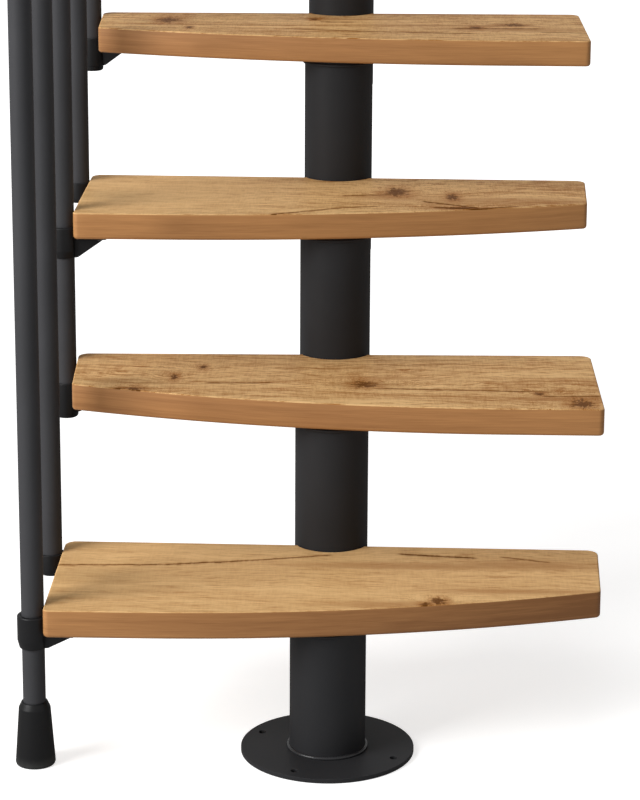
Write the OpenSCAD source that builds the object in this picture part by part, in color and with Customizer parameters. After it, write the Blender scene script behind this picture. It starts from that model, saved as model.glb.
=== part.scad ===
// Modular staircase with a central tube spine and a balustrade on the left.
// Origin: centre of the floor flange's underside.  +Z up, +Y the way up the stair, +X to the right.
// Treads alternate: odd ones are deep on the left, even ones are deep on the right.

/* [Stair] */
// Height of one step
rise = 218; // [180:1:262]
// Height of the first tread's top above the floor
first_rise = 223; // [185:1:268]
// Going: distance from one spine tube to the next
going = 215; // [179:1:260]

/* [Treads] */
// Length of a tread, from end to end
tread_w = 740; // [600:1:900]
// Thickness of a tread
tread_t = 38; // [30:1:50]
// Front edge of the deep half, ahead of the axis of the tube that carries the tread
deep_ahead = 85; // [75:1:110]
// How far the front edge falls back from the deep half to the narrow end
fall_back = 101; // [80:1:130]
// Radius of the sweep along the front edge
sweep_r = 1850; // [1500:10:2300]
// How far the back edge stands ahead of the next tube's axis, at the deep end
back_deep = 17; // [10:1:30]
// The same at the narrow end
back_narrow = 31; // [20:1:45]
// How far the narrow end leans in at its front corner
end_lean = 8; // [0:1:15]
// Radius of the back corners
back_corner_r = 16; // [8:1:24]
// Radius of the front corners
front_corner_r = 8; // [3:1:10]
// Gap between a tread's notch and the spine tube in it
notch_gap = 1.5; // [0.5:0.5:4]

/* [Spine] */
// Outer diameter of the spine tubes
tube_d = 101.6; // [88.9:0.1:122]
// Wall of the spine tubes
tube_wall = 3; // [2:0.5:5]
// Width of the arm between two tubes
arm_w = 80; // [60:1:84]
// Height of the arm
arm_h = 60; // [45:1:75]
// Wall of the arm
arm_wall = 4; // [3:0.5:6]
// How far a tube runs on below its arm
tube_tail = 10; // [5:1:20]
// Size of the saddle plate under a tread, across the stair
saddle_w = 150; // [140:1:180]
// Length of the saddle plate, along the stair
saddle_l = 130; // [120:1:140]
// How far the saddle plate runs ahead of its tube's axis
saddle_ahead = 5; // [0:1:20]
// Thickness of the saddle plate
saddle_t = 6; // [4:1:8]
// Diameter of the screw holes in the saddle plate
screw_d = 7; // [5:0.5:9]
// Distance of the screw holes from the saddle plate's edges
screw_edge = 15; // [12:1:20]

/* [Floor flange] */
// Diameter of the floor flange
flange_d = 232; // [210:1:280]
// Thickness of the floor flange
flange_t = 6; // [5:1:10]
// Diameter of the circle that the anchor holes lie on
anchor_pcd = 196; // [170:1:200]
// Diameter of an anchor hole
anchor_d = 10; // [8:0.5:12]
// Direction of the first anchor hole, from +X towards +Y
anchor_turn = -25; // [-45:1:45]

/* [Landing flange] */
// Depth of the landing flange's top below the landing
landing_drop = 40; // [20:1:60]
// Width of the landing flange
landing_w = 160; // [150:1:200]
// Height of the landing flange
landing_h = 250; // [240:1:280]
// Thickness of the landing flange
landing_t = 10; // [8:1:14]
// Height of the short arm on the landing flange
landing_arm_h = 95; // [80:1:110]
// Gap from the last tube to the landing flange
standoff = 20; // [10:1:40]
// Sideways distance between the landing bolts
bolt_x = 110; // [100:1:130]
// Height distance between the landing bolts
bolt_z = 190; // [180:1:200]
// Diameter of a landing bolt hole
bolt_d = 12; // [10:0.5:16]
// Thickness of the cap on the last tube
cap_t = 4; // [3:1:6]
// Length of the cap's plug in the tube
cap_plug = 12; // [8:1:20]

/* [Balustrade] */
// Diameter of an upright
upright_d = 30; // [25:1:36]
// Wall of an upright
upright_wall = 1.5; // [1:0.5:3]
// Plastic left between an upright and the tread's end
end_skin = 0.5; // [0.5:0.5:4]
// How far the first upright stands ahead of the first tube's axis
upright_ahead = 58; // [40:1:70]
// Height of the rail's centre line above the treads
rail_height = 920; // [850:5:1000]
// Diameter of the handrail
rail_d = 42.4; // [38:0.1:50]
// Wall of the handrail
rail_wall = 2; // [1.5:0.5:3]
// How far the handrail runs on past the end uprights
rail_overrun = 90; // [60:5:150]
// Thickness of the rail's end cap
rail_cap_t = 6; // [4:1:10]
// Length of an end cap's spigot
spigot_l = 15; // [10:1:25]
// Chamfer around a rail end cap
rail_cap_edge = 2; // [1:0.5:3]
// Radial wall of the collar of a rail holder
holder_wall = 2; // [1.5:0.5:3]
// Height of the collar of a rail holder
holder_h = 22; // [15:1:30]
// Thickness of the collar's top over the upright's end
holder_top = 4; // [3:1:6]
// Diameter of the neck between a rail holder's collar and the rail
neck_d = 14; // [10:1:18]
// Distance from an upright's top to the rail's centre line
neck_l = 48; // [45:1:60]

/* [Clamps and foot] */
// Radial wall of a front clamp
clamp_wall = 5.5; // [4:0.5:8]
// Depth of the first front clamp's rim below the tread's top
first_clamp_drop = 15; // [10:1:20]
// Depth of the other front clamps' rims below the tread's top
clamp_drop = 24; // [15:1:28]
// Height of a front clamp
clamp_h = 45; // [40:1:55]
// Height of the taper under a front clamp
clamp_taper = 11; // [6:1:14]
// Chamfer around a front clamp's rim
clamp_rim = 2; // [1:0.5:3]
// Radial wall of a rear cup and of a lower clamp
cup_wall = 3; // [2:0.5:5]
// Depth of a rear cup's rim below the tread's top
rear_cup_drop = 3; // [2:1:8]
// Height of a rear cup
rear_cup_h = 30; // [24:1:34]
// Depth of a lower clamp's rim below the tread's top
lower_drop = 35; // [30:1:40]
// Height of a lower clamp
lower_h = 52; // [48:1:60]
// Height of the narrower plug under a lower clamp
plug_h = 8; // [5:1:10]
// Thickness of a cup's floor
cup_floor = 4; // [3:1:6]
// Reach of a clamp's lug under the tread
lug_reach = 46; // [35:1:80]
// Depth of a front clamp's lug at its far end
front_lug_tip = 1; // [1:1:8]
// The same for a lower clamp's lug
lower_lug_tip = 10; // [6:1:20]
// Width of a lug along the stair
lug_w = 14; // [10:1:20]
// Thickness of a lug's foot plate under the tread
lug_plate_t = 4; // [3:1:6]
// Width of a lug's foot plate along the stair
lug_plate_w = 24; // [20:1:30]
// Gap around an upright in a clamp, cup or foot
fit_gap = 0.2; // [0.1:0.1:0.5]
// Height of the rubber foot
foot_h = 88; // [70:1:110]
// Diameter of the rubber foot on the floor
foot_d = 53; // [46:1:60]
// Diameter of the rubber foot at its shoulder
foot_top_d = 42; // [40:1:45]
// Height of the round shoulder
shoulder_h = 10; // [6:1:14]
// Thickness of the rubber under the upright
foot_floor = 6; // [4:1:10]
// Height of the chamfer around the foot's sole
sole_edge = 2; // [1:0.5:3]
// Radial wall of the foot around the upright, at its top
foot_lip = 1.5; // [1:0.5:3]

/* [Hidden] */
steps = 6;
numbers = [for (k = [1:steps]) k];
odd = [for (k = numbers) if (k % 2 == 1) k];
even = [for (k = numbers) if (k % 2 == 0) k];
tubes = [for (k = [1:steps + 1]) k];
function named(base, list) = [for (k = list) str(base, "_", k)];

tube_r = tube_d / 2;
upright_r = upright_d / 2;
bore_r = upright_r + fit_gap;
upright_x = -(tread_w / 2 + end_skin + bore_r);
rail_slope = atan2(going, rise);
rail_r = rail_d / 2;
over = 1;
$fn = 96;

steel = [0.15, 0.15, 0.16];
oak = [0.76, 0.56, 0.34];
plastic = [0.09, 0.09, 0.1];

// Top of tread k, underside of tread k, axis of spine tube k and axis of upright k.
function tread_top(k) = first_rise + (k - 1) * rise;
function tread_under(k) = tread_top(k) - tread_t;
function tube_y(k) = (k - 1) * going;
function upright_y(k) = tube_y(k) - upright_ahead;
function column_top(k) = tread_under(k) - saddle_t;
function tail_z(k) = column_top(k) - arm_h - tube_tail;
function rail_z(k) = tread_top(k) + rail_height;

// Outline with rounded corners: each entry is a corner point and its radius.
function unit(v) = v / norm(v);
function turn(a, b) = a.x * b.y - a.y * b.x;
function corner_arc(a, b, c, r, n) =
    let (u = unit(a - b), w = unit(c - b), half = acos(u * w) / 2)
    let (centre = b + unit(u + w) * r / sin(half), start = b + u * r / tan(half) - centre)
    let (a0 = atan2(start.y, start.x), sweep = sign(turn(b - a, c - b)) * (180 - 2 * half))
    [for (i = [0:n]) centre + r * [cos(a0 + sweep * i / n), sin(a0 + sweep * i / n)]];

// The tread's plan, deep on the left, measured from the next spine tube's axis.
// The front edge is straight, then one wide arc that falls back to the narrow end.
deep_front = going + deep_ahead;
narrow_x = tread_w / 2 - end_lean;
sweep_angle = acos(1 - fall_back / sweep_r);
sweep_x = narrow_x - sweep_r * sin(sweep_angle);
sweep_steps = 16;
function sweep_point(i) =
    let (a = sweep_angle * i / sweep_steps)
    [sweep_x + sweep_r * sin(a), -deep_front + sweep_r * (1 - cos(a))];
function tread_plan() =
    let (
        back_left = [-tread_w / 2, -back_deep],
        back_right = [tread_w / 2, -back_narrow],
        front_right = sweep_point(sweep_steps),
        front_left = [-tread_w / 2, -deep_front]
    )
    concat(
        corner_arc(back_right, back_left, front_left, back_corner_r, 6),
        corner_arc(back_left, front_left, sweep_point(0), front_corner_r, 4),
        [for (i = [0:sweep_steps - 1]) sweep_point(i)],
        corner_arc(sweep_point(sweep_steps - 1), front_right, back_right, front_corner_r, 4),
        corner_arc(front_right, back_right, back_left, back_corner_r, 6)
    );

module base_plate() {
    color(steel) difference() {
        cylinder(h = flange_t, d = flange_d);
        for (i = [0:3])
            rotate(anchor_turn + i * 90)
                translate([anchor_pcd / 2, 0, -over])
                    cylinder(h = flange_t + 2 * over, d = anchor_d);
    }
}

module tube_between(d, wall, low, high) {
    translate([0, 0, low]) difference() {
        cylinder(h = high - low, d = d);
        translate([0, 0, -over]) cylinder(h = high - low + 2 * over, d = d - 2 * wall);
    }
}

// Spine tube k.  The first stands on the floor flange; the others hang on behind the arm below them,
// and a welded disc closes their lower end.
module column(k) {
    low = k == 1 ? flange_t : tail_z(k - 1);
    high = k > steps ? tread_top(k) - landing_drop : column_top(k);
    color(steel) translate([0, tube_y(k), 0]) {
        tube_between(tube_d, tube_wall, low, high);
        if (k > 1) translate([0, 0, low]) cylinder(h = tube_wall, r = tube_r);
    }
}

module column_cap() {
    color(plastic) translate([0, tube_y(steps + 1), tread_top(steps + 1) - landing_drop]) {
        cylinder(h = cap_t, r = tube_r);
        translate([0, 0, -cap_plug]) cylinder(h = cap_plug, r = tube_r - tube_wall);
    }
}

module box_tube(width, length, height, wall) {
    translate([-width / 2, 0, 0]) difference() {
        cube([width, length, height]);
        translate([wall, -over, wall])
            cube([width - 2 * wall, length + 2 * over, height - 2 * wall]);
    }
}

// Arm k: the saddle plate on top of tube k, which closes it, and the box that carries tube k + 1.
module arm(k) {
    color(steel) difference() {
        translate([0, tube_y(k), column_top(k)]) union() {
            difference() {
                union() {
                    cylinder(h = saddle_t, r = tube_r);
                    translate([-saddle_w / 2, -saddle_ahead, 0])
                        cube([saddle_w, saddle_l, saddle_t]);
                }
                for (x = [-1, 1], y = [screw_edge, saddle_l - screw_edge])
                    translate([x * (saddle_w / 2 - screw_edge), y - saddle_ahead, -over])
                        cylinder(h = saddle_t + 2 * over, d = screw_d, $fn = 32);
            }
            translate([0, 0, -arm_h]) box_tube(arm_w, going, arm_h, arm_wall);
        }
        translate([0, tube_y(k), column_top(k) - arm_h - over])
            cylinder(h = arm_h + over, r = tube_r);
        translate([0, tube_y(k + 1), column_top(k) - arm_h - over])
            cylinder(h = arm_h + over, r = tube_r);
    }
}

module tread(k) {
    color(oak) translate([0, tube_y(k + 1), tread_under(k)]) difference() {
        mirror([k % 2 == 1 ? 0 : 1, 0, 0])
            linear_extrude(height = tread_t) polygon(tread_plan());
        translate([0, 0, -over])
            cylinder(h = tread_t + 2 * over, r = tube_r + notch_gap);
    }
}

module landing_flange() {
    y = tube_y(steps + 1);
    high = tread_top(steps + 1) - landing_drop;
    back = y + tube_r + standoff;
    arm_low = high - landing_h / 2 - landing_arm_h / 2;
    color(steel) {
        difference() {
            translate([0, y, arm_low]) box_tube(arm_w, back - y, landing_arm_h, arm_wall);
            translate([0, y, arm_low - over])
                cylinder(h = landing_arm_h + 2 * over, r = tube_r);
        }
        difference() {
            translate([-landing_w / 2, back, high - landing_h])
                cube([landing_w, landing_t, landing_h]);
            for (x = [-1, 1], z = [-1, 1])
                translate([x * bolt_x / 2, back - over, high - landing_h / 2 + z * bolt_z / 2])
                    rotate([-90, 0, 0]) cylinder(h = landing_t + 2 * over, d = bolt_d, $fn = 32);
        }
    }
}

// The lug that runs from a clamp under the tread's end: a web and a flat foot plate.
// root is its depth under the tread at the clamp, tip its depth at the far end.
module lug(k, n, root, tip) {
    end_x = -tread_w / 2;
    translate([0, upright_y(n), tread_under(k)]) {
        translate([0, lug_w / 2, 0]) rotate([90, 0, 0]) linear_extrude(height = lug_w)
            polygon([
                [upright_x, 0], [upright_x, -root], [end_x + lug_plate_t, -root],
                [end_x + lug_reach, -tip], [end_x + lug_reach, 0]
            ]);
        translate([end_x, -lug_plate_w / 2, -lug_plate_t])
            cube([lug_reach, lug_plate_w, lug_plate_t]);
    }
}

// What a clamp on tread k leaves free: the tread's end with a skin's width, and upright n.
module clear_of(k, n, low) {
    translate([-tread_w / 2, upright_y(n) - tread_w / 4, tread_under(k)])
        cube([tread_w / 2, tread_w / 2, tread_t + over]);
    translate([upright_x, upright_y(n), low]) cylinder(h = rise, r = bore_r);
}

// Front clamp: the upright passes through it, at the front of a deep left end.
module front_clamp(k) {
    r = bore_r + clamp_wall;
    drop = k == 1 ? first_clamp_drop : clamp_drop;
    top = tread_top(k) - drop;
    color(plastic) difference() {
        union() {
            translate([upright_x, upright_y(k), 0]) {
                translate([0, 0, top - clamp_rim])
                    cylinder(h = clamp_rim, r1 = r, r2 = r - clamp_rim / 2);
                translate([0, 0, top - clamp_h + clamp_taper])
                    cylinder(h = clamp_h - clamp_taper - clamp_rim, r = r);
                translate([0, 0, top - clamp_h])
                    cylinder(h = clamp_taper, r1 = r - clamp_wall / 2, r2 = r);
            }
            lug(k, k, drop + clamp_h - tread_t, front_lug_tip);
        }
        clear_of(k, k, top - clamp_h - over);
    }
}

// Rear cup: holds the lower end of upright k + 1 against the back of a deep left end.
module rear_cup(k) {
    r = bore_r + cup_wall;
    low = tread_top(k) - rear_cup_drop - rear_cup_h;
    color(plastic) difference() {
        translate([upright_x, upright_y(k + 1), low]) {
            cylinder(h = cup_floor, r1 = r - cup_floor / 2, r2 = r);
            translate([0, 0, cup_floor]) cylinder(h = rear_cup_h - cup_floor, r = r);
        }
        clear_of(k, k + 1, low + cup_floor);
    }
}

// Lower clamp: closed underneath, it holds the lower end of upright k + 1 beside a narrow left end.
module lower_clamp(k) {
    r = bore_r + cup_wall;
    low = tread_top(k) - lower_drop - lower_h;
    color(plastic) difference() {
        union() {
            translate([upright_x, upright_y(k + 1), low]) {
                cylinder(h = cup_floor, r1 = r - cup_floor, r2 = r - cup_wall / 2);
                translate([0, 0, cup_floor]) cylinder(h = plug_h, r = r - cup_wall / 2);
                translate([0, 0, plug_h]) cylinder(h = lower_h - plug_h, r = r);
            }
            lug(k, k + 1, lower_drop + lower_h - plug_h - tread_t, lower_lug_tip);
        }
        clear_of(k, k + 1, low + cup_floor);
    }
}

// Lower end of upright k: in the foot, in a rear cup or in a lower clamp.
function upright_low(k) =
    k == 1 ? foot_floor
    : k % 2 == 0 ? tread_top(k - 1) - rear_cup_drop - rear_cup_h + cup_floor
    : tread_top(k - 1) - lower_drop - lower_h + cup_floor;

module upright(k) {
    color(steel) translate([upright_x, upright_y(k), 0])
        tube_between(upright_d, upright_wall, upright_low(k), rail_z(k) - neck_l);
}

module foot() {
    r = foot_d / 2;
    shoulder = foot_h - shoulder_h;
    color(plastic) translate([upright_x, upright_y(1), 0]) difference() {
        union() {
            cylinder(h = sole_edge, r1 = r - sole_edge / 2, r2 = r);
            translate([0, 0, sole_edge])
                cylinder(h = shoulder - sole_edge, r1 = r, r2 = foot_top_d / 2);
            translate([0, 0, shoulder])
                cylinder(h = shoulder_h, r1 = foot_top_d / 2, r2 = bore_r + foot_lip);
        }
        translate([0, 0, foot_floor]) cylinder(h = foot_h, r = bore_r);
    }
}

// Places things along the rail: z runs up the slope from upright k, whose rail height is 0.
module on_rail(k) {
    translate([upright_x, upright_y(k), rail_z(k)]) rotate([-rail_slope, 0, 0]) children();
}

rail_span = steps * norm([going, rise]);

module rail_solid(d) {
    on_rail(1) translate([0, 0, -rail_overrun])
        cylinder(h = rail_span + 2 * rail_overrun, d = d);
}

module handrail() {
    color(steel) difference() {
        rail_solid(rail_d);
        on_rail(1) translate([0, 0, -rail_overrun - over])
            cylinder(h = rail_span + 2 * (rail_overrun + over), d = rail_d - 2 * rail_wall);
    }
}

module rail_cap() {
    cylinder(h = rail_cap_t - rail_cap_edge, r = rail_r);
    translate([0, 0, rail_cap_t - rail_cap_edge])
        cylinder(h = rail_cap_edge, r1 = rail_r, r2 = rail_r - rail_cap_edge);
    translate([0, 0, -spigot_l]) cylinder(h = spigot_l, r = rail_r - rail_wall);
}

module rail_cap_low() {
    color(plastic) on_rail(1) translate([0, 0, -rail_overrun]) rotate([180, 0, 0]) rail_cap();
}

module rail_cap_high() {
    color(plastic) on_rail(steps + 1) translate([0, 0, rail_overrun]) rail_cap();
}

// A holder on each upright: a collar over its top and a neck up to the rail's underside.
module rail_holder(k) {
    top = rail_z(k) - neck_l;
    translate([upright_x, upright_y(k), top]) difference() {
        union() {
            translate([0, 0, holder_top - holder_h])
                cylinder(h = holder_h, r = upright_r + holder_wall);
            cylinder(h = neck_l, d = neck_d);
        }
        translate([0, 0, -holder_h]) cylinder(h = holder_h, r = upright_r);
    }
}

module rail_holders() {
    color(plastic) difference() {
        for (k = tubes) rail_holder(k);
        rail_solid(rail_d);
    }
}

base_plate();
for (k = tubes) column(k);
for (k = numbers) arm(k);
for (k = numbers) tread(k);
column_cap();
landing_flange();
for (k = odd) front_clamp(k);
for (k = odd) rear_cup(k);
for (k = even) lower_clamp(k);
for (k = tubes) upright(k);
foot();
handrail();
rail_cap_low();
rail_cap_high();
rail_holders();
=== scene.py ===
import math
from functools import reduce

import bmesh
import bpy
import numpy as np
from bpy.props import FloatProperty, FloatVectorProperty, PointerProperty
from mathutils import Matrix, Vector


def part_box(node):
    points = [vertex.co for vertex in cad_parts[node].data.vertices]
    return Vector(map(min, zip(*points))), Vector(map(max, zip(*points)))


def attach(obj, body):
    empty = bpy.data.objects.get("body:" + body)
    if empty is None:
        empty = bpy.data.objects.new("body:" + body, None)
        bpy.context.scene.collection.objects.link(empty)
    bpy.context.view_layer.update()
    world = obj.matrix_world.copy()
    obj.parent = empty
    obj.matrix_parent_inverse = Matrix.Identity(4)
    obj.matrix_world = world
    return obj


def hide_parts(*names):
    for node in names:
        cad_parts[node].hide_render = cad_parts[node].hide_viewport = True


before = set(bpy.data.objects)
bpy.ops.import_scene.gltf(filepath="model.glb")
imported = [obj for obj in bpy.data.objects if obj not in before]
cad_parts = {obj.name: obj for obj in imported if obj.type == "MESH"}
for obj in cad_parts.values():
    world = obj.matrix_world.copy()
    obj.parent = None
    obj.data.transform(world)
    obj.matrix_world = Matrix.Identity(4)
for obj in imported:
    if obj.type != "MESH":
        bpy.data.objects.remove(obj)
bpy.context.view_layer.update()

bl_info = {
    "name": "Spine Stair Finisher",
    "version": (1, 0, 0),
    "blender": (4, 5, 0),
    "location": "View3D > Sidebar > Spine Stair",
    "description": "Finishes a modular stair: oak treads, powder-coated tube spine, clamps and balustrade",
    "category": "Mesh",
}

BODY = "root"
MM = 0.001
TREADS = sorted(int(n.split("_")[1]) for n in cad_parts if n.startswith("tread_"))
STEPS = len(TREADS)
TUBES = list(range(1, STEPS + 2))


# ---------------------------------------------------------------- places from the frame

def low(node):
    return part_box(node)[0]


def high(node):
    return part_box(node)[1]


def middle(node):
    lo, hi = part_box(node)
    return (lo + hi) / 2


def width(node):
    lo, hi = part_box(node)
    return hi.x - lo.x


TUBE_R = width("column_1") / 2
UPRIGHT_R = width("upright_1") / 2
UPRIGHT_X = middle("upright_1").x
TREAD_END = low("tread_1").x
TOP_ROWS = 4  # rows of faces round a tread's top edge that take the face's finish
LUG_ROOT = 0.004  # how far a lug's root runs into its clamp, and under the tread at full height
LUG_PLATE_T = 0.004
LUG_GAP = 0.0002  # between a lug's web and the tread
PLATE_GAP = 0.0001  # between a flat of a fitting and the wood
POLE_R = 0.0015  # radius of the small disc that closes a turned bottom
RING_UP, RING_DOWN = 0.0012, 0.001  # middle of a ring of weld over its flange, and under its saddle plate
ARC_POINTS, NOTCH_POINTS, FRONT_POINTS = 64, 26, 12
RING_POINTS, COPE_POINTS, HEAD_POINTS = 288, 192, 36
FITTING_SIDES, FOOT_SIDES = 72, 96
WHITE = (1.0, 1.0, 1.0)
SIDEWAYS = 1e-3  # cosine below which a direction doesn't face a flat
OBLIQUE = np.array([0.31, 0.17, 0.94])  # a direction that no bead runs along


def deep_on_left(k):
    """Odd treads are deep on the left, where the balustrade is."""
    return k % 2 == 1


# ---------------------------------------------------------------- settings

def size(name, default, description):
    return FloatProperty(
        name=name, default=default, min=0.0, description=description, subtype="DISTANCE", unit="LENGTH"
    )


def share(name, default, description):
    return FloatProperty(
        name=name, default=default, min=0.0, max=1.0, description=description, subtype="FACTOR"
    )


def angle(name, degrees, description):
    return FloatProperty(
        name=name, default=math.radians(degrees), description=description, subtype="ANGLE", unit="ROTATION"
    )


def tint(name, default, description):
    return FloatVectorProperty(
        name=name, default=default, size=3, min=0.0, max=1.0, subtype="COLOR", description=description
    )


class TreadSettings(bpy.types.PropertyGroup):
    sweep_radius: size("Sweep radius", 1.85, "Radius of the sweep along a tread's front edge")
    fall_back: size("Fall back", 0.101, "How far the front edge falls back towards the narrow end")
    back_deep: size("Back at deep end", 0.017, "Back edge ahead of the next tube's axis, deep end")
    back_narrow: size("Back at narrow end", 0.031, "Back edge ahead of the next tube's axis, narrow end")
    end_lean: size("End lean", 0.008, "How far the narrow end leans in at its front corner")
    back_corner: size("Back corner radius", 0.016, "Radius of the back corners")
    front_corner: size("Front corner radius", 0.008, "Radius of the front corners")
    notch_gap: size("Notch gap", 0.0015, "Gap between a tread's notch and the tube in it")
    top_round: size("Top edge round", 0.0022, "Radius of the rounded top edge")
    under_round: size("Under edge round", 0.0045, "Radius of the rounded bottom edge")
    face_colour: tint("Face colour", (0.745, 0.475, 0.218), "Light part of the oak face")
    grain_colour: tint("Grain colour", (0.335, 0.138, 0.034), "Dark part of the oak grain")
    crack_colour: tint("Crack colour", (0.115, 0.040, 0.006), "Cracks and knot hearts")
    band_colour: tint("Edge band colour", (0.470, 0.225, 0.078), "Edge band around the treads")


class SteelSettings(bpy.types.PropertyGroup):
    coat_colour: tint("Coat colour", (0.0175, 0.0175, 0.0188), "Black powder coat of the spine")
    # Lighter than the coat colour: painted light that stands in for the stronger light on the uprights.
    rail_lit_colour: tint("Rail colour", (0.034, 0.034, 0.0365), "Greyer black of the balustrade's coat")
    coat_roughness: share("Coat roughness", 0.48, "How dull the coat is")
    coat_grain: size("Coat grain", 0.0009, "Size of the orange peel in the coat")
    bead_radius: size("Bead radius", 0.0032, "Radius of a weld bead")
    bead_pitch: size("Bead pitch", 0.0035, "Distance between the ripples of a weld bead")
    bead_gap: size("Bead gap", 0.0008, "How far a ring of weld stands off its tube")
    edge_round: size("Edge round", 0.0008, "Rounding of cut steel edges")
    arm_width: size("Arm width", 0.080, "Width of the box arms, for the beads round their ends")


class FittingSettings(bpy.types.PropertyGroup):
    plastic_colour: tint("Plastic colour", (0.0055, 0.0055, 0.006), "Moulded black plastic")
    rubber_colour: tint("Rubber colour", (0.0045, 0.0045, 0.0049), "Rubber of the foot")
    zinc_colour: tint("Screw colour", (0.05, 0.05, 0.053), "Blackened steel of the screws")
    clamp_wall: size("Clamp wall", 0.0055, "Radial wall of a front clamp")
    cup_wall: size("Cup wall", 0.003, "Radial wall of a rear cup and a lower clamp")
    fit_gap: size("Fit gap", 0.0002, "Gap around an upright")
    lug_reach: size("Lug reach", 0.046, "How far a clamp's lug runs under the tread")
    lug_plate: size("Lug plate width", 0.024, "Width of the plate at the lug's root under the tread")
    plug: size("Plug height", 0.008, "Height of the narrower plug under a lower clamp")
    web: size("Lug web", 0.014, "Thickness of a lug's web")
    foot_shoulder: size("Foot shoulder radius", 0.021, "Radius of the foot at its shoulder")
    screw_head: size("Screw head radius", 0.0065, "Radius of a screw head")
    screw_inset: size("Screw inset", 0.015, "Distance of the saddle screws from the plate's edge")
    screw_ahead: size("Screw place", 0.010, "Front saddle screws behind the tube's axis")
    screw_pitch: size("Screw pitch", 0.100, "Distance between the saddle screws along the stair")
    lug_screw_in: size("Lug screw place", 0.036, "Lug screws from the tread's end")
    lug_screw_apart: size("Lug screw pitch", 0.019, "Distance between a lug's two screws")


class StageSettings(bpy.types.PropertyGroup):
    floor_size: size("Floor size", 16.0, "Side of the floor")
    floor_colour: tint("Floor colour", (0.66, 0.66, 0.66), "Pale floor")
    floor_lift: share("Floor lift", 0.70, "What the camera sees on top of the floor's own light")
    lift_near: size("Lift near", 1.5, "Distance at which the floor's lift starts to grow")
    lift_far: size("Lift far", 4.5, "Distance from which the floor looks white")
    diffuse_sky: share("Sky", 0.20, "Strength of the world on matt surfaces")
    camera_place: FloatVectorProperty(
        name="Camera place", default=(0.0616, -3.4861, 1.4749), size=3, subtype="XYZ", unit="LENGTH",
        description="Where the camera stands",
    )
    heading: angle("Heading", -1.22, "Camera's heading from +Y to the right")
    tilt: angle("Tilt", 14.17, "How far the camera looks down")
    roll: angle("Roll", 0.284, "Camera's roll")
    lens: FloatProperty(name="Lens", default=125.2, min=1.0, description="Focal length in millimetres")
    shift: FloatProperty(name="Shift", default=-0.1, description="Upward shift of the picture")
    key_power: FloatProperty(
        name="Key power", default=365.0, min=0.0, description="Key lamp", subtype="POWER", unit="POWER"
    )
    top_power: FloatProperty(
        name="Top power", default=55.0, min=0.0, description="Top lamp", subtype="POWER", unit="POWER"
    )


# ---------------------------------------------------------------- meshes from arrays

def place(name, mesh, slot, finishes, replaces=(), sharp=32.0):
    """Makes the object of a finished mesh, shades it smooth up to an angle and tells the frame about it."""
    for finish in finishes:
        mesh.materials.append(finish)
    mesh.polygons.foreach_set("use_smooth", np.ones(len(mesh.polygons), dtype=bool))
    mesh.update()
    mesh.set_sharp_from_angle(angle=math.radians(sharp))
    piece = bpy.data.objects.new(name, mesh)
    bpy.context.scene.collection.objects.link(piece)
    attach(piece, BODY)
    for node in replaces:
        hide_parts(node)
    return piece


def put_mesh(name, points, faces, slot, finishes, replaces=(), face_kind=None, sharp=32.0):
    """Makes a piece from an (n, 3) array of points and its faces; face_kind picks each face's finish."""
    mesh = bpy.data.meshes.new(name)
    mesh.from_pydata(points.tolist(), [], faces)
    if face_kind is not None:
        mesh.polygons.foreach_set("material_index", face_kind)
    return place(name, mesh, slot, finishes, replaces, sharp)


def grid_faces(rows, columns, start=0, close_rows=False):
    """Quads of a grid whose columns close into a loop: corner (i, j) is point i * columns + j."""
    i = np.arange(rows if close_rows else rows - 1)[:, None]
    j = np.arange(columns)[None, :]
    i2 = (i + 1) % rows
    j2 = (j + 1) % columns
    quads = np.stack(
        [i * columns + j, i * columns + j2, i2 * columns + j2, i2 * columns + j], axis=-1
    )
    return (quads.reshape(-1, 4) + start).tolist()


def skin(grid, start=0, caps=True, close_rows=False):
    """Faces of a skin over a (rows, columns, 3) grid; one face each closes its first and last row."""
    rows, columns = grid.shape[:2]
    faces = grid_faces(rows, columns, start, close_rows)
    if caps and not close_rows:
        faces.append(list(range(start + columns - 1, start - 1, -1)))
        last = start + (rows - 1) * columns
        faces.append(list(range(last, last + columns)))
    return faces


def join(grids, caps=True, close_rows=False):
    """Joins several grids into one array of points and one list of faces."""
    points, faces, start = [], [], 0
    for grid in grids:
        faces += skin(grid, start, caps, close_rows)
        points.append(grid.reshape(-1, 3))
        start += grid.shape[0] * grid.shape[1]
    return np.concatenate(points), faces


def inward(loop):
    """Unit normals into a counter-clockwise loop, square to the chord between neighbours."""
    chord = np.roll(loop, -1, axis=0) - np.roll(loop, 1, axis=0)
    normal = np.stack([-chord[:, 1], chord[:, 0]], axis=1)
    return normal / np.linalg.norm(normal, axis=1, keepdims=True)


def edge_profile(bottom, top, round_bottom, round_top, steps=5, keep=0.0004):
    """(inset, height) pairs up a slab's side: flat rim, quarter circle, wall, quarter circle, flat rim."""
    a = np.linspace(0, math.pi / 2, steps)
    rise_part = np.stack([round_bottom * (1 - np.sin(a)), bottom + round_bottom * (1 - np.cos(a))], axis=1)
    top_part = np.stack([round_top * (1 - np.cos(a)), top - round_top * (1 - np.sin(a))], axis=1)
    first = [[round_bottom + keep, bottom]]
    last = [[round_top + keep, top]]
    return np.concatenate([first, rise_part, top_part, last])


def slab(loop, profile):
    """Grid of a flat slab: each row is the loop moved in by the profile's inset, at its height."""
    normal = inward(loop)
    flat = loop[None] + profile[:, 0, None, None] * normal[None]
    height = np.broadcast_to(profile[:, 1, None, None], flat.shape[:2] + (1,))
    return np.concatenate([flat, height], axis=2)


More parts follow.
